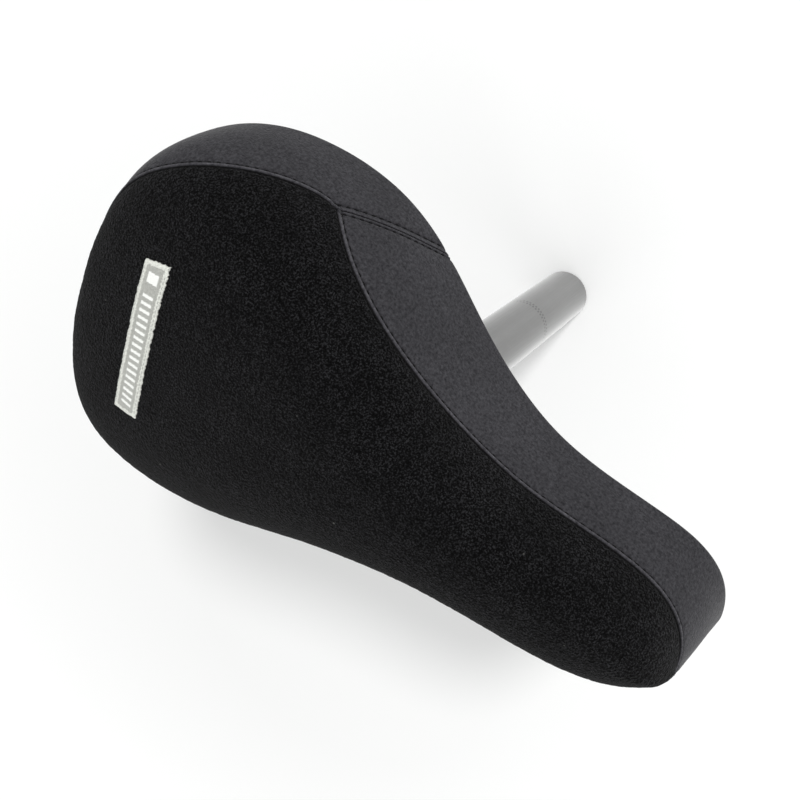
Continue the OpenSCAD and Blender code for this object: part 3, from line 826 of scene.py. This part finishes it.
def turned_edge(u, un, arc, rear):
    """Sections of the fold round the lower edge and of the part turned in; then of its back."""
    end = np.minimum(end_height(np.minimum(arc, arc[-1] - arc), rear), 0)
    pleat = tuck(un, arc)
    push = puff(u, 0 * u)
    fold = [inset(u, FOLD_R * (1 - math.cos(a)) - 0.6 * end - push * math.cos(0.8 * a),
                  FOLD_R * (1 - math.sin(a)) - 0.12 * pleat * math.sin(a)) for a in FOLD]
    ragged = TURN_IN + 0.35 * noise_2d(arc / 7, 0 * arc, 8)
    turned = []
    for f in TURNED:
        w = mix(FOLD_R - push * math.cos(0.4 * math.pi), ragged, f)
        h = -0.55 * end - 0.3 * pleat * (0.4 + f) + 0.06 * noise_2d(arc / 3, w, 9)
        turned.append(inset(u, w, 0) + np.stack([0 * w, 0 * w, h], -1))
    cut = [inset(u, ragged + 0.12, COVER_T / 2), inset(u, ragged, COVER_T)]
    back = [inset(u, mix(ragged, BACK_END, f), COVER_T) for f in BACK]
    return [place(p) for p in fold + turned], [place(p) for p in cut + back]


def band_faces(rows, cols, n_out):
    """Faces of a band's closed sheet, whose first n_out of all row-major sections are outside."""
    faces = grid_faces(rows, cols)
    last = (rows - 1) * cols
    faces += [[last + i, last + i + 1, i + 1, i] for i in range(cols - 1)]

    def across(i):
        return rows - 1 - round(i * (rows - n_out - 1) / (n_out - 1))

    for col in (0, cols - 1):
        for i in range(n_out - 1):
            a, b = across(i), across(i + 1)
            loop = [i, i + 1, b] + ([a] if a != b else [])
            faces.append([k * cols + col for k in (loop if col else loop[::-1])])
    return faces


def side_band(name, node, rear):
    """A band as a closed sheet; also its outer points and their distance from a hip seam."""
    q_set, v_table = band_columns(rear)
    cols = v_table.shape[1]
    q, v, s = band_rows(rear, q_set, v_table)
    un, u = seam_place(v, rear), lean(v, q, rear)
    t = q * seam_level(un)
    base = skin(u, t)
    d = np.minimum(distance(base, hip_curve(1)), distance(base, hip_curve(-1)))
    u_foot = lean(v_table[0], np.zeros(cols), rear)
    arc = run_along(skin(u_foot, 0 * u_foot))

    pull = tuck(un, np.broadcast_to(arc, q.shape)) * bump_at(q, 0, 0.16)
    lift = hem_height(s) + end_height(d, rear) - 0.2 * pull
    lift = lift - 0.3 * bump_at(np.abs(un), NOSE_U, 1.2) * bump_at(s, 0.6, 1.0)
    lift = lift + 0.03 * noise(base / 0.8, 5) + 0.10 * noise(base / 12, 6)
    sunk = START * ease(q / 0.25)
    blown = settled(un, WALL_ROWS * q) * sunk / START
    outer = place(under(u, t, sunk - lift - blown - puff(u, t)))

    edge, back = turned_edge(u_foot, seam_place(v_table[0], rear), arc, rear)
    inside = []
    for f in BAND_INSIDE:
        qi = mix(q[-1], 1.0, f)
        vi = np.array([np.interp(qi[i], q_set, v_table[:, i]) for i in range(cols)])
        level = qi * seam_level(seam_place(vi, rear))
        depth = np.full(cols, 1.65 if f < 0.9 else 1.6)
        inside.append(place(under(lean(vi, qi, rear), level, depth)))

    # Marks for the knit: painted shade in the joints at the seams and in the stitch grooves, and a
    # painted highlight on the hems' crests.
    join = np.maximum(ease(1 - s / 0.22), ease(1 - d / 0.3))
    groove_shade = np.maximum(bump_at(s, STITCH_S, 0.26),
                        0.9 * bump_at(d, STITCH_END[rear], 0.3) * (s > 0.5))
    crest_highlight = np.maximum(bump_at(s, 0.6, 0.35), 0.5 * bump_at(d, 0.6, 0.3))
    marks = (np.clip(join + 0.35 * groove_shade, 0, 1), crest_highlight * (1 - join))
    sections = list(outer) + edge + back + inside
    faces = band_faces(len(sections), cols, len(outer) + len(edge))
    verts = np.array(sections).reshape(-1, 3)
    return piece(name, verts, faces, BAND, node, marks=marks), outer, d


# Stitches

# Form of one stitch: share of its length, share of its radius, and height in mm
STITCH_FORM = [(0.0, 0.45, -0.45), (0.1, 0.8, -0.15), (0.25, 1, 0), (0.5, 1, 0.05),
               (0.75, 1, 0), (0.9, 0.8, -0.15), (1.0, 0.45, -0.45)]
STITCH_SIDES = 7


def stitches(name, paths, material, length=1.6, gap=1.4, radius=0.4, lift=0.2):
    """Short bars whose ends dive into the cloth, along paths of points and their normals."""
    verts, faces = [], []
    sides, rings = STITCH_SIDES, len(STITCH_FORM)
    for pts, nrm in paths:
        run = run_along(pts) * 1000

        def at_run(m, rows):
            return np.array([np.interp(m, run, rows[:, k]) for k in range(3)])

        at = 0.5
        while at + length < run[-1]:
            first = len(verts)
            for share, r, z in STITCH_FORM:
                m = at + share * length
                middle = at_run(m, pts)
                along = unit(at_run(m + 0.3, pts) - at_run(m - 0.3, pts))
                side = unit(np.cross(along, at_run(m, nrm)))
                up = np.cross(side, along)
                for j in range(sides):
                    a = 2 * math.pi * j / sides
                    rise = z + lift + radius * r * math.sin(a)
                    out = side * radius * r * math.cos(a)
                    verts.append(middle + (up * rise + out) / 1000)
            for k in range(rings - 1):
                for j in range(sides):
                    a, b = first + k * sides + j, first + k * sides + (j + 1) % sides
                    faces.append([a, b, b + sides, a + sides])
            faces.append([first + j for j in range(sides)])
            faces.append([first + (rings - 1) * sides + j for j in reversed(range(sides))])
            at += length + gap
    piece(name, verts, faces, material)


def outward(grid):
    """Normals of a surface grid, pointing away from the saddle."""
    n = np.cross(np.gradient(grid, axis=1), np.gradient(grid, axis=0))
    n /= np.linalg.norm(n, axis=-1, keepdims=True) + 1e-12
    away = grid - place(np.array([100.0, 0, -30.0]))
    return n if (n * away).sum() > 0 else -n


def sew(bands):
    """Stitch lines beside the top seam and the hip seams, and in the joins at the hips."""
    seam_row = BAND_NEAR.index(STITCH_S)
    seam_paths, hip_paths, join_paths = [], [], []
    for grid, d, rear in bands:
        n = outward(grid)
        clear = d[seam_row] > STITCH_END[rear] * 0.5
        seam_paths.append((grid[seam_row][clear], n[seam_row][clear]))
        r = np.arange(seam_row, len(grid))
        for cols in (slice(0, 40), slice(-1, -41, -1)):
            at = np.array([np.interp(STITCH_END[rear], d[i, cols], np.arange(40)) for i in r])
            lo = np.floor(at).astype(int)
            f = (at - lo)[:, None]
            points, normals = grid[:, cols], n[:, cols]
            hip_paths.append(tuple(mix(a[r, lo], a[r, lo + 1], f) for a in (points, normals)))
            if rear:
                join_paths.append((points[4:, 1], normals[4:, 1]))
    stitches("stitches_top_seam", seam_paths, BLACK_THREAD)
    stitches("stitches_hip_seams", hip_paths, BLACK_THREAD)
    stitches("stitches_hip_joins", join_paths, BLACK_THREAD,
             length=0.9, gap=1.5, radius=0.38, lift=0.1)


# The woven label

LABEL_MID = np.array([38.5, 1.5])
LABEL_LONG = np.array([-5.75, 60.65])   # from end to end, seen from above
LABEL_WIDE = np.array([10.15, 3.35])
LABEL_COLS, LABEL_ROWS = 241, 49
BORDER_W = 1.75
BARS, BAR_FIRST, BAR_PITCH = 17, 4.4, 2.75
SQUARE_AT, SQUARE_HALF = 5.9, 1.9       # plain square: its middle from the end, half its width
LABEL_SINK = 0.35                       # depth of its hidden underside in the cover


def label_relief(a, b, length, width):
    """Height of the weave in mm at shares a and b of the label; its border and bars as marks."""
    arc = a * length
    edge = np.minimum((0.5 - np.abs(a)) * length, (0.5 - np.abs(b)) * width)
    grain = noise_2d(arc / 0.35, b * width / 0.35, 12)
    border = ease((edge - 0.05) / 0.2) * ease((BORDER_W + 0.25 * grain - edge) / 0.25)
    slanted = arc + 1.6 * b
    at = (slanted + length / 2 - BAR_FIRST) / BAR_PITCH
    k = np.round(at)
    bar = np.where((k >= 0) & (k < BARS), ease((0.24 - np.abs(at - k)) / 0.06), 0)
    square = np.where(np.abs(slanted - length / 2 + SQUARE_AT) < SQUARE_HALF, 1, 0)
    bar = np.maximum(bar, square) * ease((0.23 - np.abs(b)) / 0.03)
    rib = (0.05 * np.sin(arc * 2 * math.pi / 0.8 + b * 9) * border
           + 0.03 * np.sin(arc * 2 * math.pi / 0.5) * (1 - border))
    height = 0.3 + 0.3 * border + 0.12 * bar + rib + 0.04 * grain
    marks = (np.clip(border * (0.85 + 0.25 * grain), 0, 1), np.clip(bar, 0, 1))
    sink = 0.25 * (1 - ease(edge / 1.2))
    return height * ease(edge / 0.22) + 0.15 - sink, marks


def laid(xy, tree):
    """Points of the cover straight under the label's plan, smoothed."""
    down = Vector(-UP)
    top = np.zeros((*xy.shape[:2], 3))
    for i, j in np.ndindex(xy.shape[:2]):
        hit = tree.ray_cast(Vector(place(np.array([*xy[i, j], 60.0]))), down)[0]
        top[i, j] = hit if hit is not None else place(np.array([*xy[i, j], 18.0]))
    for _ in range(14):
        around = top[:-2, 1:-1] + top[2:, 1:-1] + top[1:-1, :-2] + top[1:-1, 2:]
        top[1:-1, 1:-1] = around / 4
    return top


def label(tree):
    """The label with its woven relief, its two stitch lines and a loose thread end."""
    na, nb = LABEL_COLS, LABEL_ROWS
    a, b = np.meshgrid(np.linspace(-0.5, 0.5, na), np.linspace(-0.5, 0.5, nb), indexing="ij")
    length, width = np.linalg.norm(LABEL_LONG), np.linalg.norm(LABEL_WIDE)
    side_fray = 0.06 * noise_2d(a * length / 0.6, np.sign(b) * 3, 11)
    side_fray *= ease((np.abs(b) - 0.4) / 0.1)
    end_fray = 0.009 * noise_2d(b * width / 0.6, np.sign(a) * 3, 13)
    end_fray *= ease((np.abs(a) - 0.49) / 0.01)
    askew = (0.28 - 1.75 * b) / length * ease(-2 * a)       # one end isn't cut square
    xy = (LABEL_MID + (a * (1 + end_fray) + askew)[..., None] * LABEL_LONG
          + (b * (1 + side_fray))[..., None] * LABEL_WIDE)
    relief, marks = label_relief(a, b, length, width)
    ground = laid(xy, tree)
    surface = ground + UP * (relief / 1000)[..., None]
    verts = np.vstack([surface.reshape(-1, 3), (ground - UP * LABEL_SINK / 1000).reshape(-1, 3)])
    half = na * nb
    rim = [i * nb for i in range(na)] + [(na - 1) * nb + j for j in range(1, nb)]
    rim += [i * nb + nb - 1 for i in range(na - 2, -1, -1)] + list(range(nb - 2, 0, -1))
    faces = grid_faces(na, nb) + grid_faces(na, nb, half, flip=True)
    faces += [[p, q, q + half, p + half] for p, q in zip(rim, rim[1:] + rim[:1])]
    piece("label_woven", verts, faces, woven_ribbon(), "woven_label", marks=marks)

    ups = np.broadcast_to(UP, (na, 3))
    lines = [(surface[8:-8, j], ups[8:-8]) for j in (3, nb - 4)]
    stitches("label_stitches", lines, GREY_THREAD, length=1.3, gap=0.5, radius=0.16)
    along, across = unit(surface[-1, -1] - surface[-8, -1]), unit(surface[-1, -1] - surface[-1, -8])
    f = np.linspace(0, 1, 16)[:, None]
    tail = (surface[-4, -3] + 0.0024 * f * across + 0.0022 * f ** 2 * along
            + UP * 0.0012 * np.sin(2.4 * f))
    stitches("label_loose_end", [(tail, ups[:16])], GREY_THREAD,
             length=2.3, gap=9.0, radius=0.15)


top_ob, top_tree = top_cover()
rear_ob, rear_grid, rear_d = side_band("cover_rear_band", "rear_band", True)
front_ob, front_grid, front_d = side_band("cover_front_band", "front_band", False)
label(top_tree)
sew([(rear_grid, rear_d, True), (front_grid, front_d, False)])


# Floor, world, lights and camera

FLOOR_HALF, FLOOR_Z = 6, -0.0003
GLOW_FROM = (-0.02, -0.3, 0)            # middle of the shadow, where the floor glows least
GLOW_REACH, GLOW_RANGE = (0.13, 1.6), (0.025, 0.6)      # distance in m, and the glow there


def seen_directly(tree):
    """1 for rays of the camera, also reflected or refracted ones, and 0 for the light's own."""
    ray = tree.add("LightPath").outputs
    bent = tree.calc("MAXIMUM", ray["Is Glossy Ray"], ray["Is Transmission Ray"])
    return tree.calc("MAXIMUM", ray["Is Camera Ray"], bent)


def pale_floor():
    """A pale floor that takes the shadow; for direct and reflected rays it also glows as painted
    light, least round the shadow and up to white away from it.
    """
    material, tree = new_material("pale_floor")
    tree.surface(Base_Color=(0.88, 0.885, 0.88, 1), Roughness=0.9, Specular_IOR_Level=0.1)
    away = tree.add("VectorMath", operation="DISTANCE")
    tree.put(tree.add("TexCoord").outputs["Object"], away.inputs[0])
    tree.put(GLOW_FROM, away.inputs[1])
    strength = tree.join("MapRange", away.outputs["Value"], *GLOW_REACH, *GLOW_RANGE)
    plain = tree.nodes["Principled BSDF"].outputs[0]
    painted_glow = tree.join("AddShader", plain, tree.add("Emission", Strength=strength).outputs[0])
    tree.put(tree.join("MixShader", seen_directly(tree), plain, painted_glow),
             tree.nodes["Material Output"].inputs["Surface"])
    return material


def studio_world():
    """Soft light from all round, before a white background."""
    world = bpy.data.worlds.new("studio")
    bpy.context.scene.world = world
    tree = Tree(world)
    soft = tree.nodes["Background"]
    tree.put_all(soft, {"Color": (1, 1, 1, 1), "Strength": 0.61})
    white = tree.add("Background", Color=(1, 1, 1, 1), Strength=1.0)
    tree.put(tree.join("MixShader", seen_directly(tree), soft.outputs[0], white.outputs[0]),
             tree.nodes["World Output"].inputs["Surface"])


def area(name, at, to, size, power):
    light = bpy.data.lights.new(name, "AREA")
    light.shape, light.size, light.energy = "DISK", size, power
    ob = show(name, light)
    ob.location = at
    ob.rotation_mode = "QUATERNION"
    ob.rotation_quaternion = (Vector(to) - Vector(at)).to_track_quat("-Z", "Y")


floor_mesh = bpy.data.meshes.new("floor")
h = FLOOR_HALF
floor_mesh.from_pydata([(-h, -h, 0), (h, -h, 0), (h, h, 0), (-h, h, 0)], [], [(0, 1, 2, 3)])
floor = show("floor", floor_mesh)
floor.location.z = FLOOR_Z
floor_mesh.materials.append(pale_floor())
studio_world()

# Name, place, target, diameter in m, and watts
area("key", (0.36, 2.28, 2.1), (0.0, 0.0, 0.18), 0.5, 50.0)
area("fill", (0.0, -1.1, 0.85), (0.0, 0.0, 0.18), 1.6, 2.6)
area("side", (1.0, -0.36, 0.4), (0.0, 0.0, 0.1), 0.9, 3.0)

# The camera that was fitted to the photograph
cam_data = bpy.data.cameras.new("camera")
cam_data.sensor_width, cam_data.lens = 36.0, 40.261
cam_data.clip_start, cam_data.clip_end = 0.01, 50
cam = show("camera", cam_data)
cam.location = (0.06788, 0.1884, 0.44226)
cam.rotation_mode = "QUATERNION"
cam.rotation_quaternion = (0.909345, -0.247861, 0.192855, 0.272881)
bpy.context.scene.camera = cam
bpy.context.scene.view_settings.view_transform = "Standard"
